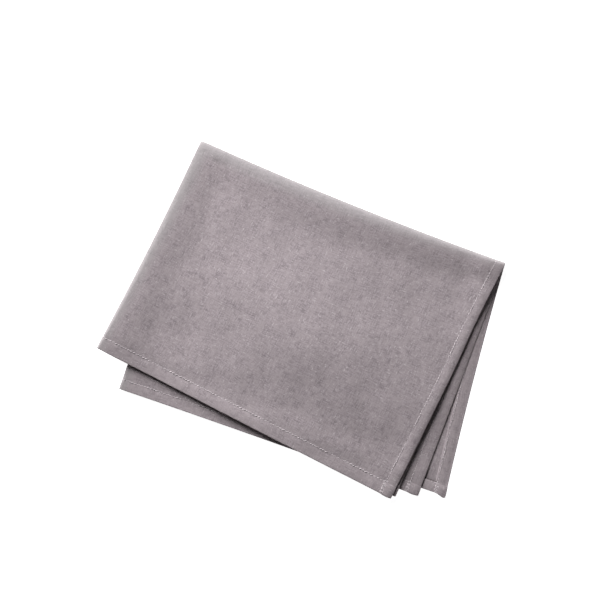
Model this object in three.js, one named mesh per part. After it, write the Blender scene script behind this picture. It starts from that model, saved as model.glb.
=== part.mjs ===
import * as THREE from 'three';

// Folded cloth napkin, in millimetres, with +Z up.
// One hemmed rectangle of woven cloth is folded in half and then in half again, so that four
// layers lie on each other. The long fold is at the back (+Y) and the two short folds are at
// the left (-X). The cloth's four corners meet at the front right, fanned a little apart.
// The origin is on the surface that the napkin lies on, under the middle of its outline.

// The woven sheet. A hem is the same cloth, turned over twice onto the wrong side.
const sheet = { thickness: 1.0, colour: 0xa1969a, roughness: 0.95, metalness: 0 };
const hem = { width: 10.5, extra: 0.5, step: 1.2 };

// The long fold runs along X from the corner where all the folds meet.
// A bow is how far the middle of an edge stands out past the straight line between its ends.
const longFold = { length: 296.7, bow: -3.0 };

// The four layers seen from above, from the corner where the folds meet. foldFoot is the front
// end of the layer's short fold, and freeCorner is where the layer's two hemmed edges meet.
const layers = {
  top: {
    foldFoot: { x: -17.4, y: -209.1 },
    freeCorner: { x: 279.8, y: -236.2 },
    foldBow: -1.6,
    hemBow: 0.2,
    sideBow: 0.9,
  },
  second: {
    foldFoot: { x: -17.4, y: -209.1 },
    freeCorner: { x: 283.0, y: -233.0 },
    foldBow: -1.6,
    hemBow: -0.3,
    sideBow: -1.8,
  },
  third: {
    foldFoot: { x: 14.8, y: -236.2 },
    freeCorner: { x: 302.0, y: -225.0 },
    foldBow: -1.6,
    hemBow: -1.2,
    sideBow: 0.2,
  },
  bottom: {
    foldFoot: { x: 14.8, y: -236.2 },
    freeCorner: { x: 325.4, y: -216.0 },
    foldBow: -1.6,
    hemBow: -1.0,
    sideBow: -1.5,
  },
};

// Gap between the middles of two layers where they lie flat on each other.
const restingGap = 1.7;

// How far each fold springs open past the resting gap, at its start, its middle and its end.
// The long fold starts at the left, and the short folds start at the back.
const spring = {
  longFoldInside: { start: 0.8, middle: 2.4, end: 1.0 },
  longFoldPairs: { start: 0.3, middle: 0.6, end: 0.3 },
  upperShortFold: { start: 0.3, middle: 2.6, end: 3.0 },
  lowerShortFold: { start: 0, middle: 0.8, end: 0.8 },
};

// A fold is pinched at its edge to a share of its spring. It is full at a crest beside the edge,
// and settles again at its reach. The turn ends at near.
const rolls = {
  long: {
    near: 3,
    pinch: 0.4,
    crest: { start: 10, middle: 9.6, end: 6 },
    reach: { start: 34, middle: 40, end: 24 },
  },
  short: {
    near: 1.5,
    pinch: 0.4,
    crest: { start: 7, middle: 5, end: 4 },
    reach: { start: 28, middle: 42, end: 46 },
  },
};

// A layer stays lifted over a hem below it, and comes down softly beside it.
const lift = { margin: 3, reach: 20 };

// Soft swells of the two upper layers, which die away towards the long fold. Each is a long or
// round rise or dip about its middle, with its long axis turned from +X by so many degrees.
const swells = [
  { place: 'middle', x: 158, y: -135, long: 94, wide: 58, turn: -18, rise: 7.1 },
  { place: 'front left', x: -14, y: -184, long: 46, wide: 42, turn: 82, rise: 1.8 },
  { place: 'front right', x: 255, y: -152, long: 52, wide: 17, turn: 82, rise: 1.0 },
  { place: 'back right', x: 293, y: -70, long: 78, wide: 24, turn: 82, rise: -0.6 },
];

// Where the two upper layers reach past the lower ones, they droop towards the surface.
const droop = { atShortFold: 0.9, shortFoldReach: 32, atHem: 0.5, hemReach: 12 };

// Number of flat facets round each fold, and the size of the facets beside it.
const facets = { roundFold: 7, besideFold: 4, growth: 1.38, panel: 22 };

const foldCorner = { x: 0, y: 0 };
const longFoldEnd = { x: longFold.length, y: 0 };

const mix = THREE.MathUtils.lerp;
const distance = (a, b) => Math.hypot(b.x - a.x, b.y - a.y);
const arch = (share) => 4 * share * (1 - share);

// Falls softly from 1 to 0 between two distances.
function fade(value, from, to) {
  return 1 - THREE.MathUtils.smoothstep(value, from, to);
}

// The value part of the way along a fold, on a smooth curve through three values.
function along({ start, middle, end }, share) {
  const t = THREE.MathUtils.clamp(share, 0, 1);
  return start * (1 - t) * (1 - 2 * t) + middle * arch(t) + end * t * (2 * t - 1);
}

// How much of a fold's spring is left at a distance inside its edge.
function sprung(inside, share, { near, pinch, crest, reach }) {
  const crestHere = along(crest, share);
  const climb = THREE.MathUtils.clamp((inside - near) / (crestHere - near), 0, 1);
  return (1 - (1 - pinch) * (1 - climb) ** 2) * fade(inside, crestHere, along(reach, share));
}

// Unit normal to the left of the way from one point to another. The outline runs clockwise,
// so this points out of it.
function outward(from, to) {
  const length = distance(from, to);
  return { x: (from.y - to.y) / length, y: (to.x - from.x) / length };
}

// How far a point lies inside the straight line between two corners of the outline.
function inset(point, from, to) {
  const normal = outward(from, to);
  return (from.x - point.x) * normal.x + (from.y - point.y) * normal.y;
}

// Place on a layer seen from above: across runs from the short fold to the side hem, and down
// runs from the long fold to the front hem.
function planPoint(layer, across, down) {
  const { foldFoot, freeCorner, foldBow, hemBow, sideBow } = layer;
  const edges = [
    { normal: outward(foldCorner, longFoldEnd), out: longFold.bow * arch(across) * (1 - down) },
    { normal: outward(longFoldEnd, freeCorner), out: sideBow * arch(down) * across },
    { normal: outward(freeCorner, foldFoot), out: hemBow * arch(across) * down },
    { normal: outward(foldFoot, foldCorner), out: foldBow * arch(down) * (1 - across) },
  ];
  const point = {
    x: mix(mix(foldCorner.x, longFoldEnd.x, across), mix(foldFoot.x, freeCorner.x, across), down),
    y: mix(mix(foldCorner.y, longFoldEnd.y, across), mix(foldFoot.y, freeCorner.y, across), down),
  };
  for (const { normal, out } of edges) {
    point.x += normal.x * out;
    point.y += normal.y * out;
  }
  return point;
}

// How much of a hem's extra thickness lies over a point: 1 on one hem and 2 where they cross.
function hemLift(point, layer) {
  const fromSide = inset(point, longFoldEnd, layer.freeCorner);
  const fromFront = inset(point, layer.freeCorner, layer.foldFoot);
  const start = hem.width + lift.margin;
  return fade(fromSide, start, start + lift.reach) + fade(fromFront, start, start + lift.reach);
}

// Height that the swells add over a point.
function swellHeight(point) {
  let height = 0;
  for (const { x, y, long, wide, turn, rise } of swells) {
    const angle = THREE.MathUtils.degToRad(turn);
    const lengthways = (point.x - x) * Math.cos(angle) + (point.y - y) * Math.sin(angle);
    const sideways = (point.y - y) * Math.cos(angle) - (point.x - x) * Math.sin(angle);
    height += rise * Math.exp(-((lengthways / long) ** 2) - (sideways / wide) ** 2);
  }
  return height;
}

// Heights of the middles of the four layers over one point, worked up from the surface.
function layerHeights(point) {
  const share = point.x / longFold.length;
  const fromLongFold = longFold.bow * arch(THREE.MathUtils.clamp(share, 0, 1)) - point.y;
  const upperDown = -point.y / distance(foldCorner, layers.top.foldFoot);
  const lowerDown = -point.y / distance(foldCorner, layers.bottom.foldFoot);
  const fromUpperFold = inset(point, layers.top.foldFoot, foldCorner);
  const fromLowerFold = inset(point, layers.bottom.foldFoot, foldCorner);

  const { longFoldInside, longFoldPairs, upperShortFold, lowerShortFold } = spring;
  const atLongFold = sprung(fromLongFold, share, rolls.long);
  const atUpperFold = sprung(fromUpperFold, upperDown, rolls.short);
  const atLowerFold = sprung(fromLowerFold, lowerDown, rolls.short);
  const opened = along(longFoldPairs, share) * atLongFold;
  const inside = along(longFoldInside, share) * atLongFold;

  const lowerHems = hem.extra * (hemLift(point, layers.bottom) + hemLift(point, layers.third));
  const upperHems = hem.extra * (hemLift(point, layers.second) + hemLift(point, layers.top));
  const settled = fade(fromLongFold, along(rolls.long.crest, share), along(rolls.long.reach, share));
  const swell = swellHeight(point) * (1 - settled);
  const pastFold = droop.atShortFold * (1 - fade(-fromLowerFold, 0, droop.shortFoldReach));
  const pastHem = droop.atHem
    * (1 - fade(-inset(point, layers.third.freeCorner, layers.third.foldFoot), 0, droop.hemReach));

  const bottom = sheet.thickness / 2;
  const third = bottom + restingGap + opened + lowerHems
    + along(lowerShortFold, lowerDown) * atLowerFold;
  const second = third + restingGap + inside + swell / 2 - pastFold - pastHem;
  const top = second + restingGap + opened + upperHems + swell / 2
    + along(upperShortFold, upperDown) * atUpperFold;
  return { bottom, third, second, top };
}

// Radii and middle heights of the outer and the inner turn of the long fold.
function longFoldTurn(across) {
  const edge = planPoint(layers.top, across, 0);
  const { bottom, third, second, top } = layerHeights({ x: edge.x, y: edge.y - rolls.long.near });
  return {
    outer: { radius: (top - bottom) / 2, middle: (top + bottom) / 2 },
    inner: { radius: (second - third) / 2, middle: (second + third) / 2 },
  };
}

// Half the gap between the two layers of a pair at their short fold, which is its radius.
function shortFoldRadius(isUpper, down) {
  const layer = isUpper ? layers.top : layers.bottom;
  const edge = planPoint(layer, 0, down);
  const { bottom, third, second, top } = layerHeights({ x: edge.x + rolls.short.near, y: edge.y });
  return (isUpper ? top - second : third - bottom) / 2;
}

// Place of a grid crossing on one layer. Each layer has its own width and depth, so that the
// free corners fan out.
function onLayer(layer, column, row, shortRadius, radii) {
  const { foldFoot, freeCorner } = layer;
  const depth = mix(distance(foldCorner, foldFoot), distance(longFoldEnd, freeCorner), column.beyond);
  const fromLongFold = radii.outer - radii.here * (1 - row.cover)
    + row.beyond * (depth - radii.outer);
  const down = fromLongFold / depth;
  const width = mix(longFold.length, distance(foldFoot, freeCorner), down);
  const fromShortFold = shortRadius * column.cover + column.beyond * (width - shortRadius);
  return planPoint(layer, fromShortFold / width, down);
}

// A station says where a grid line of the cloth lies beside a fold. side is 1 on the outside of
// the fold and -1 on the inside, and passes through 0 on the way round it. cover is 0 at the
// fold's outermost line and 1 where the layer leaves the turn. beyond is the share of the flat
// part that has been crossed, and fromEdge the distance to the hemmed edge.
function stations(length) {
  const flat = [];
  const hemStart = length - hem.width - hem.step;
  let step = facets.besideFold;
  let reached = 0;
  while (reached + step < hemStart - facets.besideFold) {
    reached += step;
    flat.push(reached);
    step = Math.min(step * facets.growth, facets.panel);
  }
  flat.push(hemStart, length - hem.width, length - hem.width / 2, length);

  const list = flat.map((place) => ({
    side: 1, cover: 1, beyond: place / length, fromEdge: length - place,
  }));
  const mirrored = list.map((station) => ({ ...station, side: -1 })).reverse();
  const round = [];
  for (let i = 0; i <= facets.roundFold; i += 1) {
    const angle = Math.PI * (i / facets.roundFold - 0.5);
    round.push({
      side: Math.sin(angle), cover: 1 - Math.cos(angle), beyond: 0, fromEdge: length,
    });
  }
  return [...mirrored, ...round, ...list];
}

// A point of the cloth's middle surface.
function clothPoint(column, row) {
  const isUpper = row.side > 0;
  const outerShare = (1 + column.side) / 2;
  const upperShare = (1 + row.side) / 2;
  const { outer, inner } = longFoldTurn(column.beyond);
  const radii = { outer: outer.radius, here: mix(inner.radius, outer.radius, outerShare) };
  const shortRadius = mix(
    shortFoldRadius(false, row.beyond),
    shortFoldRadius(true, row.beyond),
    upperShare,
  );

  const place = (layer) => onLayer(layer, column, row, shortRadius, radii);
  const blend = (a, b, share) => ({ x: mix(a.x, b.x, share), y: mix(a.y, b.y, share) });
  const upper = blend(place(layers.second), place(layers.top), outerShare);
  const lower = blend(place(layers.third), place(layers.bottom), outerShare);
  const point = blend(lower, upper, upperShare);

  let height = mix(inner.middle, outer.middle, outerShare) + radii.here * row.side;
  if (row.beyond > 0) {
    const { bottom, third, second, top } = layerHeights(point);
    height = isUpper ? mix(second, top, outerShare) : mix(third, bottom, outerShare);
  }
  return new THREE.Vector3(point.x, point.y, height);
}

// Unit direction along a grid line through a point, from its neighbours on either side.
function direction(before, here, after) {
  const total = new THREE.Vector3();
  if (before) {
    total.add(here.clone().sub(before).normalize());
  }
  if (after) {
    total.add(after.clone().sub(here).normalize());
  }
  return total.normalize();
}

// The share of the hem's extra thickness at a distance from the hemmed edge.
function hemShare(fromEdge) {
  return THREE.MathUtils.clamp((hem.width + hem.step - fromEdge) / hem.step, 0, 1);
}

// The whole napkin as one closed sheet: the right side, the wrong side with its hems, and the
// narrow edge that joins them.
function makeNapkin() {
  const columns = stations(longFold.length);
  const rows = stations((distance(foldCorner, layers.top.foldFoot)
    + distance(longFoldEnd, layers.top.freeCorner)) / 2).reverse();
  const middle = rows.map((row) => columns.map((column) => clothPoint(column, row)));

  const positions = [];
  for (const isRightSide of [true, false]) {
    rows.forEach((row, j) => {
      columns.forEach((column, i) => {
        const here = middle[j][i];
        const acrossWay = direction(middle[j][i - 1], here, middle[j][i + 1]);
        const downWay = direction(middle[j - 1]?.[i], here, middle[j + 1]?.[i]);
        const normal = new THREE.Vector3().crossVectors(acrossWay, downWay).normalize();
        const extra = hem.extra * (hemShare(column.fromEdge) + hemShare(row.fromEdge));
        const offset = isRightSide ? sheet.thickness / 2 : -sheet.thickness / 2 - extra;
        positions.push(...here.clone().addScaledVector(normal, offset).toArray());
      });
    });
  }

  const across = columns.length;
  const count = across * rows.length;
  const right = (j, i) => j * across + i;
  const wrong = (j, i) => count + right(j, i);
  const triangles = [];
  const quad = (a, b, c, d) => triangles.push(a, b, c, a, c, d);
  for (let j = 0; j < rows.length - 1; j += 1) {
    for (let i = 0; i < across - 1; i += 1) {
      quad(right(j, i), right(j, i + 1), right(j + 1, i + 1), right(j + 1, i));
      quad(wrong(j, i), wrong(j + 1, i), wrong(j + 1, i + 1), wrong(j, i + 1));
    }
    quad(right(j, 0), right(j + 1, 0), wrong(j + 1, 0), wrong(j, 0));
    quad(right(j, across - 1), wrong(j, across - 1), wrong(j + 1, across - 1), right(j + 1, across - 1));
  }
  const last = rows.length - 1;
  for (let i = 0; i < across - 1; i += 1) {
    quad(right(0, i), wrong(0, i), wrong(0, i + 1), right(0, i + 1));
    quad(right(last, i), right(last, i + 1), wrong(last, i + 1), wrong(last, i));
  }

  const geometry = new THREE.BufferGeometry();
  geometry.setAttribute('position', new THREE.Float32BufferAttribute(positions, 3));
  geometry.setIndex(triangles);
  geometry.computeBoundingBox();
  const { min, max } = geometry.boundingBox;
  geometry.translate(-(min.x + max.x) / 2, -(min.y + max.y) / 2, -min.z);
  geometry.computeVertexNormals();

  const material = new THREE.MeshStandardMaterial({
    color: sheet.colour,
    roughness: sheet.roughness,
    metalness: sheet.metalness,
  });
  const mesh = new THREE.Mesh(geometry, material);
  mesh.name = 'napkin';
  return mesh;
}

const napkin = new THREE.Group();
napkin.add(makeNapkin());

export default napkin;
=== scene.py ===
from math import radians

import bpy
import numpy as np
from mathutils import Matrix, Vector


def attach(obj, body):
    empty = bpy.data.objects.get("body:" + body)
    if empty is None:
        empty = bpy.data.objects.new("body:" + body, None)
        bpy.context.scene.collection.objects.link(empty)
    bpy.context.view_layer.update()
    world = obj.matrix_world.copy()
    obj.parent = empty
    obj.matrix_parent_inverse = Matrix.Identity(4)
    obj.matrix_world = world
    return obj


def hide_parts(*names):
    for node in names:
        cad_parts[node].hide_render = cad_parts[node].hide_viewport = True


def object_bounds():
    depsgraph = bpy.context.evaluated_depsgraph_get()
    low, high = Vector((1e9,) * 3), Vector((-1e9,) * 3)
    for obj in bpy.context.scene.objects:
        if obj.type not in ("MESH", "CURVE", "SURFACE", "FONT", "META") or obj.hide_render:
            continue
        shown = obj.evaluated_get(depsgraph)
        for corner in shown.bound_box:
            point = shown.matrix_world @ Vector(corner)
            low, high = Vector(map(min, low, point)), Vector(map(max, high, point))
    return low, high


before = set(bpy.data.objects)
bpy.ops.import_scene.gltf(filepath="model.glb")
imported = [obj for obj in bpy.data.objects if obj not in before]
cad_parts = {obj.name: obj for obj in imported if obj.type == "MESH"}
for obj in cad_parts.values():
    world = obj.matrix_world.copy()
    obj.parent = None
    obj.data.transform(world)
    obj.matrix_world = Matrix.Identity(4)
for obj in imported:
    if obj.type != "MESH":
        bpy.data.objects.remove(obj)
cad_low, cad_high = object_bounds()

# Camera. It looks straight down, as table linen is photographed, and it is turned so that the
# long fold runs down to the right. A millimetre of the top layer is a little over one pixel.
picture_width = 0.5539
picture_middle = (-0.00974, 0.0142)
picture_turn = radians(21.95)
top_layer_height = 0.006
lens, sensor = 120.0, 36.0

camera_data = bpy.data.cameras.new("camera")
camera_data.lens = lens
camera_data.sensor_width = sensor
camera = bpy.data.objects.new("camera", camera_data)
camera.location = (*picture_middle, top_layer_height + picture_width * lens / sensor)
camera.rotation_euler = (0.0, 0.0, picture_turn)
bpy.context.collection.objects.link(camera)
bpy.context.scene.camera = camera

# The cloth. One rectangle of plain-weave chambray with a narrow hem turned twice onto its wrong
# side, folded in half across its length and in half again, and laid flat. It is one sheet: the
# four layers run into each other round the three folds.
MM = 0.001
thickness = 0.45
hem_thickness = 0.5
solid_half_thickness = 0.5

# The grid of the mesh, in millimetres: lines round a fold, then at growing steps over the flat
# part, then across a hem, as shares of its width from the inner line to the edge.
round_steps = 18
step_beside_fold, step_growth, panel_step = 1.2, 1.22, 3.3
line_beside_hem = 1.0
stitch_line = 0.14
step_share = 0.025
hem_steps = [
    0.0, step_share, 0.07, 0.11, stitch_line, 0.17, 0.25, 0.4, 0.55, 0.68, 0.78, 0.86, 0.93, 1.0,
]
usual_hem, usual_depth = 11.0, 222.0
hem_share = dict(across=0.04, down=0.05)

# The layers from above, in millimetres from the corner where the folds meet. The foot is the
# front end of a layer's short fold, and free is its free corner. The bows are how far its side,
# front and folded edges stand out past straight lines. The dip draws its side edge in, over the
# half of it beside the long fold. A side hem has a width at the back and one at the front.
fold_length, fold_bow = 296.7, -3.0
dip_share = 0.5
layers = {
    "top": dict(
        foot=(-17.4, -209.1), free=(279.8, -236.2), bows=(0.9, 0.2, -1.6), side_dip=1.2,
        side_hem=(9.6, 12.4), front_hem=13.1,
    ),
    "second": dict(
        foot=(-17.4, -209.1), free=(283.0, -233.0), bows=(-1.8, -0.3, -1.6), side_dip=1.2,
        side_hem=(12.0, 12.5), front_hem=13.1,
    ),
    "third": dict(
        foot=(14.8, -236.2), free=(302.0, -225.0), bows=(0.2, -1.2, -1.6), side_dip=0.0,
        side_hem=(11.5, 12.4), front_hem=10.5,
    ),
    "bottom": dict(
        foot=(14.8, -236.2), free=(325.4, -216.0), bows=(-1.5, -1.0, -1.6), side_dip=0.0,
        side_hem=(11.6, 11.0), front_hem=9.6,
    ),
}

# Heights, in millimetres. The gap is between the middles of two layers that lie flat on each
# other. A fold springs open past that by an amount at its start, its middle and its end: the
# long fold starts at the left, and the short folds start at the back. The roll beside a fold is
# full as far as its crest and has settled at its reach.
resting_gap = 1.6
spring = {
    "long fold, inside": dict(start=0.6, middle=2.3, end=1.5),
    "long fold, pairs": dict(start=0.2, middle=0.6, end=0.4),
    "upper short fold": dict(start=0.6, middle=2.8, end=3.4),
    "lower short fold": dict(start=0.0, middle=0.8, end=0.8),
}
rolls = {
    "long": dict(
        crest=dict(start=10.0, middle=9.6, end=2.4), reach=dict(start=34.0, middle=40.0, end=22.0),
    ),
    "short": dict(
        crest=dict(start=7.0, middle=4.8, end=2.4), reach=dict(start=28.0, middle=42.0, end=46.0),
    ),
}

# Layers lie higher over the hems below them. The lower pair's edges sag towards the table, and
# the upper pair bridges that beside the long fold, but droops where it reaches past the lower
# pair. The bottom layer's free corner is stretched into a small ear.
hem_lift = dict(lower=0.4, upper=0.3, start=13.5, reach=20.0)
sag = dict(bottom=0.85, third=0.7, reach=16.0, front=0.5)
bridged = dict(start=30.0, end=110.0)
droop = dict(past_fold=0.9, fold_reach=32.0, past_hem=0.5, hem_reach=12.0)
dog_ear = dict(reach=2.0, across=(0.3, 0.9, 1.0), share=(0.0, 1.0, 0.7))

# The top is a little uneven all over. The upper pair has soft swells, each with its long axis
# turned from +X by so many degrees, and the lower pair has one along its front edge.
unevenness = 0.22
uneven_waves, uneven_seed = (17.0, 21.0, 26.0, 33.0, 41.0, 52.0, 67.0), 11
swells = (
    dict(x=158, y=-135, long=94, wide=58, turn=-18, rise=7.1),
    dict(x=216, y=-156, long=46, wide=18, turn=82, rise=0.7),
    dict(x=255, y=-152, long=52, wide=17, turn=82, rise=1.0),
    dict(x=293, y=-80, long=72, wide=24, turn=82, rise=-1.1),
    dict(x=293, y=-29, long=20, wide=14, turn=82, rise=0.7),
    dict(x=300, y=-40, long=40, wide=60, turn=82, rise=-0.9),
    dict(x=-14, y=-184, long=46, wide=42, turn=82, rise=1.8),
    dict(x=34, y=-222, long=60, wide=16, turn=-5, rise=-0.9),
    dict(x=78, y=-188, long=60, wide=16, turn=-4, rise=0.8),
    dict(x=146, y=-228, long=78, wide=11, turn=-5, rise=1.3),
)
lower_swells = (dict(x=112, y=-240, long=76, wide=12, turn=-2, rise=0.9),)


def mix(a, b, share):
    return a + (b - a) * share


def arch(share):
    return 4 * share * (1 - share)


def fade(value, start, end):
    """Falls softly from 1 to 0 between two distances."""
    t = np.clip((value - start) / (end - start), 0, 1)
    return 1 - t * t * (3 - 2 * t)


def along(row, share):
    """The value part of the way along a fold, on a smooth curve through three values."""
    t = np.clip(share, 0, 1)
    return (
        row["start"] * (1 - t) * (1 - 2 * t) + row["middle"] * arch(t)
        + row["end"] * t * (2 * t - 1)
    )


def sprung(inside, share, roll):
    """How much of a fold's spring is left inside it: all of it as far as the crest of its roll."""
    return fade(inside, along(roll["crest"], share), along(roll["reach"], share))


def outward(start, end):
    """Unit normal that points out of the clockwise outline, along a straight edge of it."""
    x, y = np.subtract(end, start)
    return np.array((-y, x)) / np.hypot(x, y)


def length(start, end):
    """Distance between two corners."""
    return np.hypot(*np.subtract(end, start))


def inset(x, y, start, end):
    """How far points lie inside the straight line between two corners."""
    normal = outward(start, end)
    return (start[0] - x) * normal[0] + (start[1] - y) * normal[1]


back_left, back_right = (0.0, 0.0), (fold_length, 0.0)


def plan(layer, across, down):
    """Where a layer's points lie, seen from above, as shares of the way across and down it."""
    foot, free, (side_bow, hem_bow, short_bow) = layer["foot"], layer["free"], layer["bows"]
    dip_place = np.clip(down / dip_share, 0, 1)
    side_dip = layer["side_dip"] * arch(dip_place) * fade(dip_place, 0.5, 1.0)
    places = []
    for axis in (0, 1):
        back = mix(back_left[axis], back_right[axis], across)
        front = mix(foot[axis], free[axis], across)
        places.append(
            mix(back, front, down)
            + outward(back_left, back_right)[axis] * fold_bow * arch(across) * (1 - down)
            + outward(back_right, free)[axis] * (side_bow * arch(down) - side_dip) * across
            + outward(free, foot)[axis] * hem_bow * arch(across) * down
            + outward(foot, back_left)[axis] * short_bow * arch(down) * (1 - across)
        )
    return places


def over_hems(x, y, layer):
    """How many hems' thickness lies over points: 1 on one hem and 2 where they cross."""
    start = hem_lift["start"]
    end = start + hem_lift["reach"]
    side = inset(x, y, back_right, layer["free"])
    front = inset(x, y, layer["free"], layer["foot"])
    return fade(side, start, end) + fade(front, start, end)


def at_edges(x, y, layer):
    """Falls softly from 1 at a layer's side edge to 0 inside it, and from less at its front."""
    side = inset(x, y, back_right, layer["free"])
    front = inset(x, y, layer["free"], layer["foot"])
    return np.maximum(fade(side, 0, sag["reach"]), sag["front"] * fade(front, 0, sag["reach"]))


def uneven(x, y):
    """Gentle unevenness from a few soft waves that cross, between about -1 and 1."""
    random = np.random.default_rng(uneven_seed)
    height = 0.0
    for wave in uneven_waves:
        way = random.uniform(0, np.pi)
        run = x * np.cos(way) + y * np.sin(way)
        height = height + np.sin(2 * np.pi * run / wave + random.uniform(0, 2 * np.pi)) * wave / 100
    return height


def swell_height(x, y, rows):
    """Height that soft swells add over points."""
    height = 0.0
    for row in rows:
        c, s = np.cos(radians(row["turn"])), np.sin(radians(row["turn"]))
        lengthways = (x - row["x"]) * c + (y - row["y"]) * s
        sideways = (y - row["y"]) * c - (x - row["x"]) * s
        height = height + row["rise"] * np.exp(
            -((lengthways / row["long"]) ** 2) - (sideways / row["wide"]) ** 2
        )
    return height


def layer_heights(x, y):
    """Heights of the middles of the four layers over points, worked up from the table."""
    bottom_row, third_row = layers["bottom"], layers["third"]
    share = x / fold_length
    from_long = fold_bow * arch(np.clip(share, 0, 1)) - y
    from_upper = inset(x, y, layers["top"]["foot"], back_left)
    from_lower = inset(x, y, bottom_row["foot"], back_left)
    inside, pairs = spring["long fold, inside"], spring["long fold, pairs"]
    upper, lower = spring["upper short fold"], spring["lower short fold"]

    at_long = sprung(from_long, share, rolls["long"])
    lower_hems = hem_lift["lower"] * (over_hems(x, y, bottom_row) + over_hems(x, y, third_row))
    upper_hems = hem_lift["upper"] * (
        over_hems(x, y, layers["second"]) + over_hems(x, y, layers["top"])
    )
    swell = swell_height(x, y, swells) * (1 - at_long)
    past_fold = droop["past_fold"] * (1 - fade(-from_lower, 0, droop["fold_reach"]))
    outside = -inset(x, y, third_row["free"], third_row["foot"])
    past_hem = droop["past_hem"] * (1 - fade(outside, 0, droop["hem_reach"]))
    lower_share = -y / length(back_left, bottom_row["foot"])
    upper_share = -y / length(back_left, layers["top"]["foot"])

    curl = swell_height(x, y, lower_swells)
    bottom_sag = sag["bottom"] * at_edges(x, y, bottom_row) * (1 - at_long)
    third_sag = sag["third"] * at_edges(x, y, third_row)
    bottom = thickness / 2 + sag["bottom"] * (1 - at_long) - bottom_sag + curl
    third = (
        bottom + resting_gap + along(pairs, share) * at_long + lower_hems - third_sag
        + along(lower, lower_share) * sprung(from_lower, lower_share, rolls["short"])
    )
    second = (
        third + resting_gap + along(inside, share) * at_long + swell / 2
        - past_fold - past_hem - curl
        + (bottom_sag + third_sag) * fade(from_long, bridged["start"], bridged["end"])
    )
    at_upper = sprung(from_upper, upper_share, rolls["short"])
    top = (
        second + resting_gap + along(pairs, share) * at_long + upper_hems + swell / 2
        + unevenness * uneven(x, y) * (1 - at_long) * (1 - at_upper)
        + along(upper, upper_share) * at_upper
    )
    return {"top": top, "second": second, "third": third, "bottom": bottom}


def stations(span, hem_width):
    """Grid lines from one hemmed edge, round a fold, to the opposite hemmed edge.

    side is 1 outside the fold and -1 inside it, and passes through 0 on the way round. cover is
    0 at the fold's outermost line and 1 where the layer leaves the turn. panel and hem are the
    shares of the flat part and of the hem that have been crossed.
    """
    panel_span = span - hem_width
    flat, step, reached = [], step_beside_fold, 0.0
    while reached + step < panel_span - step:
        reached += step
        flat.append(reached / panel_span)
        step = min(step * step_growth, panel_step)
    panel = [*flat, 1 - line_beside_hem / panel_span] + [1.0] * len(hem_steps)
    hem = [0.0] * (len(flat) + 1) + hem_steps
    angle = np.pi * (np.arange(round_steps + 1) / round_steps - 0.5)
    turn = np.zeros_like(angle)
    flat_side = np.ones(len(panel))
    return dict(
        side=np.concatenate((-flat_side, np.sin(angle), flat_side)),
        cover=np.concatenate((flat_side, 1 - np.cos(angle), flat_side)),
        panel=np.concatenate((panel[::-1], turn, panel)),
        hem=np.concatenate((hem[::-1], turn, hem)),
    )


def cloth_middle(columns, rows):
    """Middle surface of the folded cloth on a grid of stations."""
    side, cover, panel, hem = (columns[k][None, :] for k in ("side", "cover", "panel", "hem"))
    row_side, row_cover, row_panel, row_hem = (
        rows[k][:, None] for k in ("side", "cover", "panel", "hem")
    )
    outer, upper = (1 + side) / 2, (1 + row_side) / 2
    across_guess = mix(panel, hem, hem_share["across"])
    down_guess = mix(row_panel, row_hem, hem_share["down"])

    # A fold turns on half an ellipse that reaches in to its crest. The inner layers of the long
    # fold turn inside the outer ones.
    long_reach = along(rolls["long"]["crest"], across_guess)
    edge_x, edge_y = plan(layers["top"], across_guess, 0.0)
    turn = layer_heights(edge_x, edge_y - long_reach)
    outer_radius = (turn["top"] - turn["bottom"]) / 2
    outer_middle = (turn["top"] + turn["bottom"]) / 2
    inner_radius = (turn["second"] - turn["third"]) / 2
    inner_middle = (turn["second"] + turn["third"]) / 2
    radius = mix(inner_radius, outer_radius, outer)
    turn_reach = long_reach - (outer_radius - radius)
    short_reach = along(rolls["short"]["crest"], down_guess)

    places = {}
    for name, row in layers.items():
        depth = mix(length(back_left, row["foot"]), length(back_right, row["free"]), across_guess)
        from_long = (
            long_reach - turn_reach * (1 - row_cover)
            + row_panel * (depth - long_reach - row["front_hem"]) + row_hem * row["front_hem"]
        )
        down = from_long / depth
        width = mix(fold_length, length(row["foot"], row["free"]), down)
        side_hem = mix(*row["side_hem"], down)
        from_short = short_reach * cover + panel * (width - short_reach - side_hem) + hem * side_hem
        places[name] = plan(row, from_short / width, down)
    x, y = (
        mix(
            mix(places["third"][k], places["bottom"][k], outer),
            mix(places["second"][k], places["top"][k], outer),
            upper,
        )
        for k in (0, 1)
    )
    heights = layer_heights(x, y)
    flat_height = np.where(
        row_side > 0,
        mix(heights["second"], heights["top"], outer),
        mix(heights["third"], heights["bottom"], outer),
    )
    turning = mix(inner_middle, outer_middle, outer) + radius * row_side
    z = np.where(row_panel > 0, flat_height, turning)
    ear = np.interp(hem, dog_ear["across"], dog_ear["share"]) * row_hem ** 2
    y = y - dog_ear["reach"] * outer * (1 - upper) * ear
    return np.stack(np.broadcast_arrays(x, y, z), axis=-1)


def unit(vectors):
    """The same directions with length 1."""
    return vectors / np.maximum(np.linalg.norm(vectors, axis=-1, keepdims=True), 1e-12)


def directions(points, axis):
    """Unit direction along the grid lines at each point, from its neighbours on either side."""
    steps = unit(np.diff(points, axis=axis))
    pad = [(0, 0)] * 3
    pad[axis] = (1, 1)
    steps = np.pad(steps, pad)
    count = points.shape[axis]
    return unit(np.take(steps, range(count), axis) + np.take(steps, range(1, count + 1), axis))


def wander(values, waves, seed):
    """Gentle irregular waves along a line, between about -1 and 1, from a few wavelengths."""
    phases = np.random.default_rng(seed).uniform(0, 2 * np.pi, len(waves))
    return sum(np.sin(2 * np.pi * values / w + p) for w, p in zip(waves, phases)) / len(waves)


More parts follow.
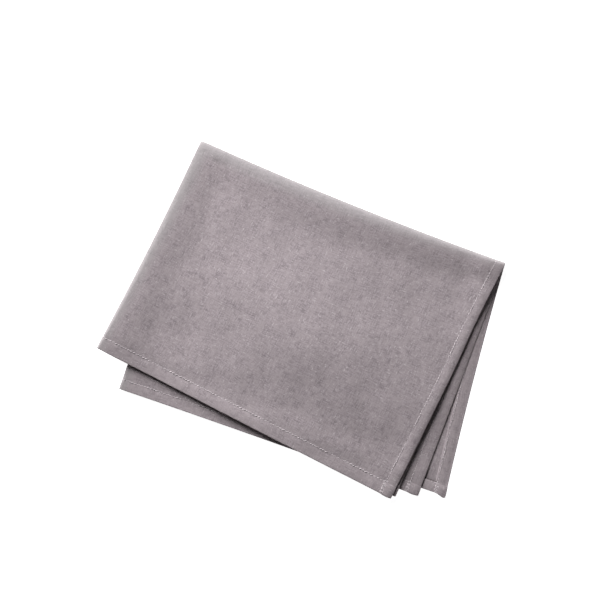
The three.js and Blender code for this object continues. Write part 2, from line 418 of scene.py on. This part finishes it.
def run_along(points, axis):
    """Distance from the start of the grid lines, averaged over all of them."""
    steps = np.linalg.norm(np.diff(points, axis=axis), axis=-1).mean(axis=1 - axis)
    return np.concatenate(((0,), np.cumsum(steps)))


columns = stations(fold_length, usual_hem)
rows = stations(usual_depth, usual_hem)
rows = {name: values[::-1] for name, values in rows.items()}
middle = cloth_middle(columns, rows)
way_across, way_down = directions(middle, 1), directions(middle, 0)
normal = unit(np.cross(way_across, way_down))

# Distances over the flat cloth, for the weave's own map, and from the two lines of the folds.
flat_u, flat_v = run_along(middle, 1), run_along(middle, 0)
from_short_fold = abs(flat_u - flat_u[len(flat_u) // 2])
from_long_fold = abs(flat_v - flat_v[len(flat_v) // 2])

# A paler, greyer painted sheen lies within this distance of a fold's line, where the cloth rounds
# away.
fold_sheen = dict(start=2.0, end=15.0)
sheen_by_short_fold = fade(from_short_fold, fold_sheen["start"], fold_sheen["end"])[None, :]
sheen_by_long_fold = fade(from_long_fold, fold_sheen["start"], fold_sheen["end"])[:, None]

# The hems stand out on the wrong side, puff softly between the stitches and the edge, and
# pucker where the thread draws them in. The bottom layer's right side stays flat.
on_side = columns["hem"][None, :]
on_front = rows["hem"][:, None]
puff, pucker, groove = 0.16, 0.14, 0.13
pucker_waves, pucker_seeds = (6.1, 8.7, 12.9, 19.3), dict(side=3, front=5)
groove_width, pucker_width = 0.035, 0.3
side_edge_fall, fall_start = 0.55, 0.6
fall_from_fold = dict(start=15.0, end=90.0)
corner_rise, corner_full = dict(right=0.25, wrong=0.6), 0.5
most_sunk, seam_dip = -0.1, 0.35


def hem_step(share, is_hem):
    """Rises from 0 to 1 over the first step of a hem."""
    return np.where(is_hem, np.clip(share / step_share, 0, 1), 0)


turned_side = hem_step(on_side, columns["panel"][None, :] >= 1)
turned_front = hem_step(on_front, rows["panel"][:, None] >= 1)
faces_up = (1 + columns["side"][None, :] * rows["side"][:, None]) / 2


def hem_relief(share, turned, line, seed, edge_fall=0.0):
    """How far a hem stands out of the cloth: a soft tube with a sewn groove and small puckers."""
    tube = puff * np.sin(np.pi * np.clip((share - stitch_line) / (1 - stitch_line), 0, 1))
    tube = tube - edge_fall * (np.clip((share - fall_start) / (1 - fall_start), 0, 1) ** 2)
    sewn = -groove * np.exp(-(((share - stitch_line) / groove_width) ** 2))
    near_stitches = np.exp(-(((share - stitch_line) / pucker_width) ** 2))
    puckers = pucker * wander(line, pucker_waves, seed) * near_stitches
    return turned * (tube + sewn + puckers)


side_fall = side_edge_fall * (1 - fade(from_long_fold, *fall_from_fold.values()))[:, None]
side_relief = hem_relief(
    on_side, turned_side, flat_v[:, None], pucker_seeds["side"], side_fall
)
front_relief = hem_relief(on_front, turned_front, flat_u[None, :], pucker_seeds["front"])
relief = side_relief + front_relief
corner_bulk = np.clip(on_side / corner_full, 0, 1) * np.clip(on_front / corner_full, 0, 1)
right_side = middle + normal * (
    thickness / 2 + faces_up * (relief + corner_rise["right"] * corner_bulk)
)[..., None]
# Where the seam beside a front hem lies: the material paints shade into it, for its narrow crevice.
at_front_seam = (
    (rows["panel"][:, None] >= 1) & (on_front <= step_share) & (on_side < stitch_line)
)
wrong_side = middle - normal * (
    thickness / 2 + hem_thickness * np.maximum(turned_side, turned_front)
    + corner_rise["wrong"] * corner_bulk + np.maximum(relief, most_sunk)
    - seam_dip * (at_front_seam & (on_front == 0))
)[..., None]


def cloth_mesh():
    """The closed sheet: its right side, its wrong side, and a rounded edge between them.

    With its points and faces come the weave's map and where the hems, folds and seams are.
    """
    down_count, across_count = middle.shape[:2]
    count = down_count * across_count
    index = np.arange(count).reshape(down_count, across_count)
    a, b = index[:-1, :-1], index[:-1, 1:]
    c, d = index[1:, 1:], index[1:, :-1]
    right_faces = np.stack((a, b, c, d), axis=-1).reshape(-1, 4)
    wrong_faces = np.stack((a, d, c, b), axis=-1).reshape(-1, 4) + count

    border = np.concatenate((index[0, :-1], index[:-1, -1], index[-1, :0:-1], index[:0:-1, 0]))
    out = np.zeros_like(middle)
    out[:, 0] -= way_across[:, 0]
    out[:, -1] += way_across[:, -1]
    out[0] -= way_down[0]
    out[-1] += way_down[-1]
    border_out = unit(out.reshape(-1, 3)[border])
    top = right_side.reshape(-1, 3)[border]
    low = wrong_side.reshape(-1, 3)[border]
    centre, half = (top + low) / 2, (top - low) / 2
    reach = np.linalg.norm(half, axis=-1, keepdims=True)
    rim_angles = np.pi * np.array((0.18, 0.36, 0.5, 0.64, 0.82))
    rims = [centre + np.cos(t) * half + np.sin(t) * reach * border_out for t in rim_angles]

    points = np.concatenate([right_side.reshape(-1, 3), wrong_side.reshape(-1, 3), *rims])
    rings = [border]
    rings += [2 * count + k * len(border) + np.arange(len(border)) for k in range(len(rims))]
    rings += [border + count]
    faces = [right_faces, wrong_faces]
    for ring, following in zip(rings, rings[1:]):
        quads = (ring, following, np.roll(following, -1), np.roll(ring, -1))
        faces.append(np.stack(quads, axis=-1))

    def over_all(right, wrong):
        """A value for each point: of the right side, of the wrong side and of the rims."""
        return np.concatenate([right, wrong] + [right[border]] * len(rims))

    flat = np.stack(np.broadcast_arrays(flat_u[None, :], flat_v[:, None]), axis=-1).reshape(-1, 2)
    # Marks for the material: the hems, paler for their thicker cloth and partly painted highlight,
    # the folds' painted sheen, and the painted shade of the front seams.
    hems = np.maximum(*np.broadcast_arrays(turned_side, turned_front)).reshape(-1)
    folds = np.maximum(*np.broadcast_arrays(sheen_by_short_fold, sheen_by_long_fold)).reshape(-1)
    seams = np.broadcast_to(at_front_seam, (down_count, across_count)).reshape(-1) * 1.0
    marks = dict(
        hem=over_all(hems, hems), fold=over_all(folds, folds), seam=over_all(0 * seams, seams),
    )
    return points, np.concatenate(faces), over_all(flat, flat) * MM, marks


points, faces, flat_map, marks = cloth_mesh()
corner_place = (
    cad_low[0] / MM + solid_half_thickness - layers["top"]["foot"][0],
    cad_high[1] / MM - solid_half_thickness,
)
points = (points + (*corner_place, 0.0)) * MM

mesh = bpy.data.meshes.new("napkin_cloth")
mesh.from_pydata(points.tolist(), [], faces.tolist())
mesh.polygons.foreach_set("use_smooth", [True] * len(mesh.polygons))
corners = np.empty(len(mesh.loops), dtype=np.int32)
mesh.loops.foreach_get("vertex_index", corners)
weave_map = mesh.uv_layers.new(name="weave")
weave_map.uv.foreach_set("vector", flat_map[corners].astype(np.float32).reshape(-1))
for name, values in marks.items():
    attribute = mesh.attributes.new(name, "FLOAT", "POINT")
    attribute.data.foreach_set("value", values.astype(np.float32))
mesh.validate()
cloth = bpy.data.objects.new("napkin_cloth", mesh)
bpy.context.collection.objects.link(cloth)


def linear(code):
    """The linear colour of an sRGB hex code."""
    values = [int(code[k:k + 2], 16) / 255 for k in (1, 3, 5)]
    return (*(v / 12.92 if v <= 0.04045 else ((v + 0.055) / 1.055) ** 2.4 for v in values), 1.0)


def add(tree, kind, inputs=None, **settings):
    """Adds a node with its settings. inputs gives each socket a value or another node's output."""
    node = tree.nodes.new(kind)
    for name, value in settings.items():
        setattr(node, name, value)
    for key, value in (inputs or {}).items():
        if isinstance(value, bpy.types.NodeSocket):
            tree.links.new(value, node.inputs[key])
        else:
            node.inputs[key].default_value = value
    return node


def chambray():
    """Cotton and linen chambray: mauve-grey warp and paler weft in a plain weave.

    The yarns are spun unevenly, so thin streaks run both ways, and there are a few pale slubs.
    The real threads are about 0.4 mm apart, finer than the picture shows, so the streaks are
    drawn as if they were 1 mm apart.
    """
    material = bpy.data.materials.new("chambray")
    material.use_nodes = True
    tree = material.node_tree
    tree.nodes.clear()
    place = add(tree, "ShaderNodeUVMap", uv_map="weave").outputs["UV"]
    thread, streak, slub, cloud = 1.0 * MM, 6 * MM, 5 * MM, 9 * MM

    def yarns(across_size, along_size, is_warp, detail=2.0):
        """Uneven spots of a size, stretched along the warp or along the weft."""
        sizes = (across_size, along_size) if is_warp else (along_size, across_size)
        scale = (1 / sizes[0], 1 / sizes[1], 1)
        spot = add(tree, "ShaderNodeMapping", {"Vector": place, "Scale": scale})
        return add(
            tree, "ShaderNodeTexNoise",
            {"Vector": spot.outputs["Vector"], "Scale": 1.0, "Detail": detail, "Roughness": 0.6},
            noise_dimensions="2D",
        ).outputs["Fac"]

    both = add(
        tree, "ShaderNodeMath",
        {0: yarns(thread, streak, True), 1: yarns(thread, streak, False)}, operation="ADD",
    ).outputs[0]
    share = add(tree, "ShaderNodeMapRange", {"Value": both, "From Min": 0.75, "From Max": 1.25})
    colour = add(
        tree, "ShaderNodeMix",
        {"Factor": share.outputs[0], 6: linear("#80777b"), 7: linear("#a3999d")}, data_type="RGBA",
    )

    # The dye is a little cloudy. A hem is a shade paler for its thicker cloth, and partly painted
    # highlight where it stands up into the light. The fold lines get a paler, greyer painted sheen
    # where the cloth rounds away, and the seam beside a front hem gets painted shade.
    clouds = yarns(cloud, cloud, True, 3.5)
    slubs = [yarns(1.1 * thread, slub, is_warp, 1.0) for is_warp in (True, False)]
    hem, fold, seam = (
        add(tree, "ShaderNodeAttribute", attribute_name=name).outputs["Fac"]
        for name in ("hem", "fold", "seam")
    )
    for where, low, high, strength, hue in (
        (clouds, 0.3, 0.7, 0.66, "#a2989b"),
        (slubs[0], 0.71, 0.79, 0.45, "#d2cacd"),
        (slubs[1], 0.71, 0.79, 0.45, "#d2cacd"),
        # A hem: paler for its thicker cloth, and partly painted highlight where it stands up.
        (hem, 0.0, 1.0, 0.06, "#b9aeb2"),
        # The folds: painted sheen, paler and greyer.
        (fold, 0.0, 1.0, 0.6, "#918f8f"),
        # The front seam: painted shade, dark as its narrow crevice.
        (seam, 0.0, 1.0, 0.85, "#30292b"),
    ):
        share = add(
            tree, "ShaderNodeMapRange",
            {"Value": where, "From Min": low, "From Max": high, "To Max": strength},
        )
        colour = add(
            tree, "ShaderNodeMix",
            {"Factor": share.outputs[0], 6: colour.outputs[2], 7: linear(hue)}, data_type="RGBA",
        )

    bump = add(
        tree, "ShaderNodeBump", {"Height": both, "Strength": 0.35, "Distance": 0.2 * MM}
    ).outputs["Normal"]
    surface = add(
        tree, "ShaderNodeBsdfPrincipled",
        {
            "Base Color": colour.outputs[2],
            "Roughness": 0.92,
            "Specular IOR Level": 0.15,
            "Sheen Weight": 0.1,
            "Sheen Roughness": 0.45,
            "Sheen Tint": linear("#eef0ee"),
            "Normal": bump,
        },
    )
    add(tree, "ShaderNodeOutputMaterial", {"Surface": surface.outputs["BSDF"]})
    return material


cloth.data.materials.append(chambray())
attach(cloth, "root")
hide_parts("napkin")

# Hem stitching. Pale pinkish sewing thread, machine sewn in one straight row along each hem. The
# same lockstitch shows on both sides of the cloth: the thread lies on it, swells between two
# holes and dives into each of them.
stitch_pitch = 3.1 * MM
thread_radius, thread_sides = 0.35 * MM, 5
rings_per_stitch = 7
hole_dip, stitch_slant = 0.35 * MM, 0.9 * MM
pitch_stray, stray_seed = 0.4, 4.0
dive_start, thin_share = -0.1, 0.45

# In millimetres: how high the thread lies on the cloth, which varies along the row, and how far
# beside a side row the stitches that hold a corner are sewn back.
thread_rise, rise_varies = 0.13, 0.3
rise_waves = (23.0, 37.0, 61.0)
back_rows = (-0.8, 0.8, 1.7)


def sewn_lines():
    """The sewn lines on both sides of the cloth, and which way is up along them.

    The front rows stop at the side rows, which run on to the edge. A few stitches are sewn back
    beside the side rows there, to hold the corner.
    """
    chosen_rows = np.flatnonzero(np.isclose(rows["hem"], stitch_line))
    chosen_columns = np.flatnonzero(np.isclose(columns["hem"], stitch_line))
    between_sides = np.flatnonzero(columns["hem"] < stitch_line + 0.001)
    half = len(rows["hem"]) // 2
    front = np.flatnonzero(rows["hem"] > 0)
    fronts = (front[front < half], front[front > half])
    lines = [(np.s_[j, between_sides], 0, rise_varies) for j in chosen_rows]
    lines += [(np.s_[:, i], 0, rise_varies) for i in chosen_columns]
    lines += [
        (np.s_[rows_there, i], beside, 0)
        for i in chosen_columns for rows_there in fronts for beside in back_rows
    ]
    spots, ups, edges = [], [], []
    for surface, up in ((right_side, normal), (wrong_side, -normal)):
        for line, beside, varies in lines:
            steps = np.linalg.norm(np.diff(surface[line], axis=0), axis=-1)
            run = np.concatenate(((0,), np.cumsum(steps)))
            rise = thread_rise + varies * wander(run, rise_waves, len(spots))
            start = sum(len(spot) for spot in spots)
            spots.append(surface[line] + up[line] * rise[:, None] + way_across[line] * beside)
            ups.append(up[line])
            edges += [(k, k + 1) for k in range(start, start + len(spots[-1]) - 1)]
    spots = (np.concatenate(spots) + (*corner_place, 0.0)) * MM
    spots[:, 2] = np.maximum(spots[:, 2], thread_radius)
    return spots, np.concatenate(ups), edges


def stitch_tree(material):
    """Lays a row of stitches along each line of a mesh that has a vector "up" on its points."""
    tree = bpy.data.node_groups.new("hem stitches", "GeometryNodeTree")
    tree.interface.new_socket("Line", in_out="INPUT", socket_type="NodeSocketGeometry")
    for name in ("Pitch", "Step", "Thickness", "Hole", "Slant", "Seed"):
        tree.interface.new_socket(name, in_out="INPUT", socket_type="NodeSocketFloat")
    tree.interface.new_socket("Stitches", in_out="OUTPUT", socket_type="NodeSocketGeometry")
    given = add(tree, "NodeGroupInput").outputs

    curve = add(tree, "GeometryNodeMeshToCurve", {"Mesh": given["Line"]}).outputs["Curve"]
    fine = add(
        tree, "GeometryNodeResampleCurve", {"Curve": curve, "Length": given["Step"]}, mode="LENGTH"
    ).outputs["Curve"]

    # Stitches counted along the line, a little uneven in length.
    run = add(tree, "GeometryNodeSplineParameter").outputs["Length"]
    count = add(tree, "ShaderNodeMath", {0: run, 1: given["Pitch"]}, operation="DIVIDE").outputs[0]
    place = add(
        tree, "ShaderNodeMath", {0: count, 1: pitch_stray, 2: given["Seed"]},
        operation="MULTIPLY_ADD",
    ).outputs[0]
    stray = add(
        tree, "ShaderNodeTexNoise", {"W": place, "Scale": 1.0}, noise_dimensions="1D"
    ).outputs["Fac"]
    turns = add(tree, "ShaderNodeMath", {0: count, 1: stray}, operation="ADD").outputs[0]
    angle = add(tree, "ShaderNodeMath", {0: turns, 1: 2 * np.pi}, operation="MULTIPLY").outputs[0]
    wave = add(tree, "ShaderNodeMath", {0: angle}, operation="COSINE").outputs[0]

    # The thread dives into the hole between two stitches, and is thin there.
    limits = {"Value": wave, "From Min": -1.0, "From Max": dive_start}
    sunk = add(tree, "ShaderNodeMapRange", {**limits, "To Min": given["Hole"], "To Max": 0.0})
    slim = add(tree, "ShaderNodeMapRange", {**limits, "To Min": thin_share, "To Max": 1.0})
    size = add(
        tree, "ShaderNodeMath", {0: slim.outputs[0], 1: given["Thickness"]}, operation="MULTIPLY"
    ).outputs[0]

    # Each stitch lies slantwise across the line from one hole to the next.
    part = add(tree, "ShaderNodeMath", {0: turns, 1: 0.5, 2: -0.5}, operation="WRAP").outputs[0]
    slanted = add(
        tree, "ShaderNodeMath", {0: part, 1: given["Slant"]}, operation="MULTIPLY"
    ).outputs[0]
    up = add(
        tree, "GeometryNodeInputNamedAttribute", {"Name": "up"}, data_type="FLOAT_VECTOR"
    ).outputs["Attribute"]
    way = add(tree, "GeometryNodeInputTangent").outputs["Tangent"]
    across = add(
        tree, "ShaderNodeVectorMath", {0: up, 1: way}, operation="CROSS_PRODUCT"
    ).outputs[0]
    down = add(
        tree, "ShaderNodeVectorMath", {0: up, 1: sunk.outputs[0]}, operation="MULTIPLY"
    ).outputs[0]
    offset = add(
        tree, "ShaderNodeVectorMath", {0: across, 1: slanted, 2: down}, operation="MULTIPLY_ADD"
    ).outputs[0]
    laid = add(tree, "GeometryNodeSetPosition", {"Geometry": fine, "Offset": offset}).outputs[0]
    ring = add(
        tree, "GeometryNodeCurvePrimitiveCircle", {"Resolution": thread_sides, "Radius": 1.0}
    )
    tube = add(
        tree, "GeometryNodeCurveToMesh",
        {"Curve": laid, "Profile Curve": ring.outputs["Curve"], "Scale": size, "Fill Caps": True},
    ).outputs["Mesh"]
    real = add(tree, "GeometryNodeRealizeInstances", {"Geometry": tube}).outputs["Geometry"]
    dressed = add(tree, "GeometryNodeSetMaterial", {"Geometry": real, "Material": material})
    add(tree, "NodeGroupOutput", {"Stitches": dressed.outputs["Geometry"]})
    return tree


def sewing_thread():
    """Spun polyester sewing thread: matt, with a fine twist that catches a little light."""
    material = bpy.data.materials.new("sewing thread")
    material.use_nodes = True
    tree = material.node_tree
    tree.nodes.clear()
    twist_size = 0.8 * MM
    place = add(tree, "ShaderNodeTexCoord").outputs["Object"]
    twist = add(
        tree, "ShaderNodeTexNoise", {"Vector": place, "Scale": 1 / twist_size, "Detail": 2.0}
    ).outputs["Fac"]
    colour = add(
        tree, "ShaderNodeMix",
        {"Factor": twist, 6: linear("#b3a9ad"), 7: linear("#d9d1d4")}, data_type="RGBA",
    )
    bump = add(tree, "ShaderNodeBump", {"Height": twist, "Strength": 0.3, "Distance": 0.1 * MM})
    surface = add(
        tree, "ShaderNodeBsdfPrincipled",
        {
            "Base Color": colour.outputs[2],
            "Roughness": 0.6,
            "Specular IOR Level": 0.4,
            "Sheen Weight": 0.2,
            "Normal": bump.outputs["Normal"],
        },
    )
    add(tree, "ShaderNodeOutputMaterial", {"Surface": surface.outputs["BSDF"]})
    return material


spots, ups, edges = sewn_lines()
line_mesh = bpy.data.meshes.new("sewn lines")
line_mesh.from_pydata(spots.tolist(), edges, [])
up_attribute = line_mesh.attributes.new("up", "FLOAT_VECTOR", "POINT")
up_attribute.data.foreach_set("vector", ups.astype(np.float32).reshape(-1))
lines = bpy.data.objects.new("sewn lines", line_mesh)
bpy.context.collection.objects.link(lines)
modifier = lines.modifiers.new("stitches", "NODES")
modifier.node_group = stitch_tree(sewing_thread())
sizes = {
    "Pitch": stitch_pitch, "Step": stitch_pitch / rings_per_stitch, "Thickness": thread_radius,
    "Hole": -hole_dip, "Slant": stitch_slant, "Seed": stray_seed,
}
for item in modifier.node_group.interface.items_tree:
    if item.name in sizes:
        modifier[item.identifier] = sizes[item.name]
stitch_mesh = bpy.data.meshes.new_from_object(
    lines.evaluated_get(bpy.context.evaluated_depsgraph_get())
)
bpy.data.objects.remove(lines)
stitch_mesh.polygons.foreach_set("use_smooth", [True] * len(stitch_mesh.polygons))
stitches = bpy.data.objects.new("hem_stitches", stitch_mesh)
bpy.context.collection.objects.link(stitches)
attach(stitches, "root")

# Table. A plain matt white surface, which isn't part of the napkin. It gives some light of
# its own, so that the picture's ground stays white beside the cloth.
half_table = 9.0
table_glow = 0.9
table_corners = [
    (x * half_table, y * half_table, 0) for x, y in ((-1, -1), (1, -1), (1, 1), (-1, 1))
]
table_mesh = bpy.data.meshes.new("table")
table_mesh.from_pydata(table_corners, [], [(0, 1, 2, 3)])
table = bpy.data.objects.new("table", table_mesh)
bpy.context.collection.objects.link(table)
table_material = bpy.data.materials.new("matt white board")
table_material.use_nodes = True
board = table_material.node_tree.nodes["Principled BSDF"]
board.inputs["Base Color"].default_value = linear("#fbfbfb")
board.inputs["Roughness"].default_value = 0.9
board.inputs["Specular IOR Level"].default_value = 0.1
board.inputs["Emission Color"].default_value = (1.0, 1.0, 1.0, 1.0)
board.inputs["Emission Strength"].default_value = table_glow
table_mesh.materials.append(table_material)

# Light. One very broad soft light from the back left, and an even, faint surround that fills it.
key_way = Vector((-0.75, 0.66, 0.46)).normalized()
key_distance, key_size, key_power = 2.6, 2.2, 190.0
surround_strength = 0.06

key_data = bpy.data.lights.new("key", "AREA")
key_data.shape = "DISK"
key_data.size = key_size
key_data.energy = key_power
key = bpy.data.objects.new("key", key_data)
key.location = key_way * key_distance
key.rotation_euler = (-key_way).to_track_quat("-Z", "Y").to_euler()
bpy.context.collection.objects.link(key)
surround = bpy.data.worlds.new("surround")
surround.use_nodes = True
surround.node_tree.nodes["Background"].inputs["Color"].default_value = (1.0, 1.0, 1.0, 1.0)
surround.node_tree.nodes["Background"].inputs["Strength"].default_value = surround_strength
bpy.context.scene.world = surround
bpy.context.scene.view_settings.view_transform = "Standard"
